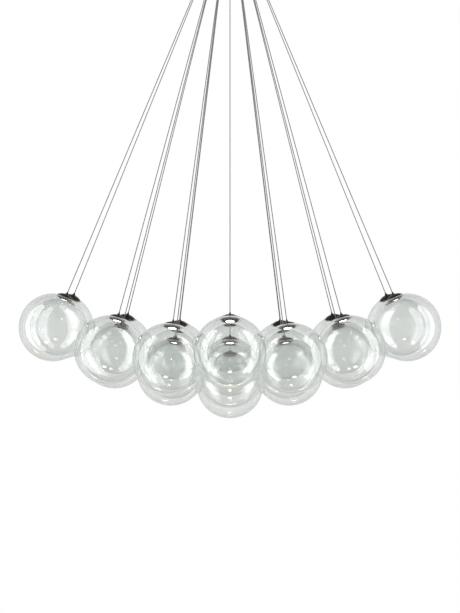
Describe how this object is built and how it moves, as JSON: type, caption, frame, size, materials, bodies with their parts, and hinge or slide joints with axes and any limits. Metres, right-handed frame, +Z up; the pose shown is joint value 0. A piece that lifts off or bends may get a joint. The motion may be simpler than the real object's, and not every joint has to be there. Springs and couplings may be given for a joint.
{
  "type": "cluster pendant light",
  "caption": "Round ceiling canopy with a close, bowl-shaped cluster of clear glass globe pendants, each hung on its own straight cable under a small dark domed cap with a lamp inside.",
  "frame": {"origin": "centre of the ceiling plate's top face, where the lamp meets the ceiling", "axes": "+Z up out of the ceiling plate, the lamp hangs towards -Z; the widest side of the cluster lies along X, and its front faces -Y"},
  "size_m": [0.9314, 0.7516, 1.075],
  "materials": {
    "clear_glass": "clear blown glass with a faint grey-green tint",
    "bronze_cap": "dark bronze, satin",
    "cable_jacket": "dark grey, satin",
    "silicone": "black silicone, matt",
    "spring_steel": "blackened spring steel, satin",
    "lamp_board": "white-faced aluminium board",
    "opal_diffuser": "opal, lit warm white",
    "canopy_paint": "white powder coat, satin",
    "plate_steel": "zinc-plated sheet steel",
    "grip_black": "black nylon",
    "zinc_steel": "zinc-plated",
    "driver_plastic": "white moulded case",
    "green_board": "green circuit board",
    "terminal_plastic": "natural polyamide",
    "earth_brass": "plain brass"
  },
  "bodies": {
    "root": {"inner_globes": "clear_glass", "inner_caps": "bronze_cap", "inner_gaskets": "silicone", "inner_clip_rings": "spring_steel", "inner_lamp_boards": "lamp_board", "inner_diffusers": "opal_diffuser", "inner_cables": "cable_jacket", "canopy_housing": "canopy_paint", "ceiling_plate": "plate_steel", "canopy_screws": "bronze_cap", "cable_grips": "grip_black", "grip_nuts": "zinc_steel", "led_driver": "driver_plastic", "output_board": "green_board", "mains_terminal_block": "terminal_plastic", "cord_clamp": "terminal_plastic", "plate_screws": "zinc_steel", "earth_screw": "earth_brass"},
    "pendant_01": {"globe_01": "clear_glass", "head_01": "bronze_cap", "cable_01": "cable_jacket"},
    "pendant_02": {"globe_02": "clear_glass", "head_02": "bronze_cap", "cable_02": "cable_jacket"},
    "pendant_03": {"globe_03": "clear_glass", "head_03": "bronze_cap", "cable_03": "cable_jacket"},
    "pendant_04": {"globe_04": "clear_glass", "head_04": "bronze_cap", "cable_04": "cable_jacket"},
    "pendant_05": {"globe_05": "clear_glass", "head_05": "bronze_cap", "cable_05": "cable_jacket"},
    "pendant_06": {"globe_06": "clear_glass", "head_06": "bronze_cap", "cable_06": "cable_jacket"},
    "pendant_07": {"globe_07": "clear_glass", "head_07": "bronze_cap", "cable_07": "cable_jacket"},
    "pendant_08": {"globe_08": "clear_glass", "head_08": "bronze_cap", "cable_08": "cable_jacket"},
    "pendant_09": {"globe_09": "clear_glass", "head_09": "bronze_cap", "cable_09": "cable_jacket"},
    "pendant_10": {"globe_10": "clear_glass", "head_10": "bronze_cap", "cable_10": "cable_jacket"},
    "pendant_11": {"globe_11": "clear_glass", "head_11": "bronze_cap", "cable_11": "cable_jacket"},
    "pendant_12": {"globe_12": "clear_glass", "head_12": "bronze_cap", "cable_12": "cable_jacket"},
    "pendant_13": {"globe_13": "clear_glass", "head_13": "bronze_cap", "cable_13": "cable_jacket"},
    "pendant_14": {"globe_14": "clear_glass", "head_14": "bronze_cap", "cable_14": "cable_jacket"}
  },
  "joints": [
    {"name": "swing_01", "type": "hinge", "parent": "root", "child": "pendant_01", "pos_m": [0, -0.04, -0.0492], "axis": [-1, 0, 0], "range_deg": [0, 15]},
    {"name": "swing_02", "type": "hinge", "parent": "root", "child": "pendant_02", "pos_m": [0.01732, -0.03, -0.0492], "axis": [-0.866, -0.5, 0], "range_deg": [0, 15]},
    {"name": "swing_03", "type": "hinge", "parent": "root", "child": "pendant_03", "pos_m": [0.03464, -0.02, -0.0492], "axis": [-0.866, -0.5, 0], "range_deg": [0, 15]},
    {"name": "swing_04", "type": "hinge", "parent": "root", "child": "pendant_04", "pos_m": [0.05196, -0.01, -0.0492], "axis": [-0.5, -0.866, 0], "range_deg": [0, 15]},
    {"name": "swing_05", "type": "hinge", "parent": "root", "child": "pendant_05", "pos_m": [0.05196, 0.01, -0.0492], "axis": [0.5, -0.866, 0], "range_deg": [0, 15]},
    {"name": "swing_06", "type": "hinge", "parent": "root", "child": "pendant_06", "pos_m": [0.03464, 0.02, -0.0492], "axis": [0.866, -0.5, 0], "range_deg": [0, 15]},
    {"name": "swing_07", "type": "hinge", "parent": "root", "child": "pendant_07", "pos_m": [0.01732, 0.03, -0.0492], "axis": [0.866, -0.5, 0], "range_deg": [0, 15]},
    {"name": "swing_08", "type": "hinge", "parent": "root", "child": "pendant_08", "pos_m": [0, 0.04, -0.0492], "axis": [1, 0, 0], "range_deg": [0, 15]},
    {"name": "swing_09", "type": "hinge", "parent": "root", "child": "pendant_09", "pos_m": [-0.01732, 0.03, -0.0492], "axis": [0.866, 0.5, 0], "range_deg": [0, 15]},
    {"name": "swing_10", "type": "hinge", "parent": "root", "child": "pendant_10", "pos_m": [-0.03464, 0.02, -0.0492], "axis": [0.866, 0.5, 0], "range_deg": [0, 15]},
    {"name": "swing_11", "type": "hinge", "parent": "root", "child": "pendant_11", "pos_m": [-0.05196, 0.01, -0.0492], "axis": [0.5, 0.866, 0], "range_deg": [0, 15]},
    {"name": "swing_12", "type": "hinge", "parent": "root", "child": "pendant_12", "pos_m": [-0.05196, -0.01, -0.0492], "axis": [-0.5, 0.866, 0], "range_deg": [0, 15]},
    {"name": "swing_13", "type": "hinge", "parent": "root", "child": "pendant_13", "pos_m": [-0.03464, -0.02, -0.0492], "axis": [-0.866, 0.5, 0], "range_deg": [0, 15]},
    {"name": "swing_14", "type": "hinge", "parent": "root", "child": "pendant_14", "pos_m": [-0.01732, -0.03, -0.0492], "axis": [-0.866, 0.5, 0], "range_deg": [0, 15]}
  ]
}
